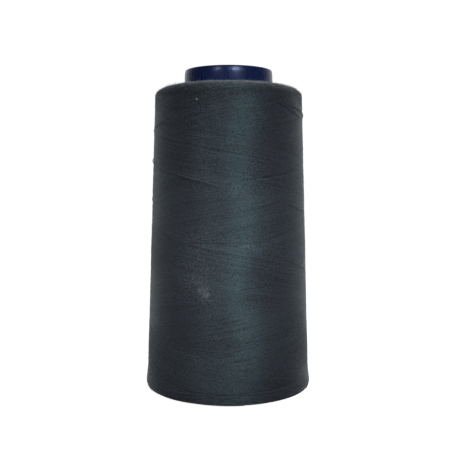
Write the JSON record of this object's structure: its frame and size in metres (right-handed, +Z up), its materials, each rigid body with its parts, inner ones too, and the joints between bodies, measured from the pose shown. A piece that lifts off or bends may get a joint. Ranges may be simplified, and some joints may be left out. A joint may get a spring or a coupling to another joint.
{
  "type": "thread cone",
  "caption": "Tall tapered cone of cross-wound sewing thread on a moulded plastic core, with a rounded shoulder, a proud glossy collar and an open bore.",
  "frame": {"origin": "centre of the circle that the core stands on", "axes": "+Z up along the cone's axis, -Y the front, where an azimuth of 0 lies"},
  "size_m": [0.089, 0.089, 0.17],
  "materials": {
    "core_plastic": "gloss",
    "thread": "matte"
  },
  "bodies": {
    "root": {"cone_core": "core_plastic", "thread_winding": "thread", "reserve_tail": "thread", "last_turn": "thread"}
  },
  "joints": []
}
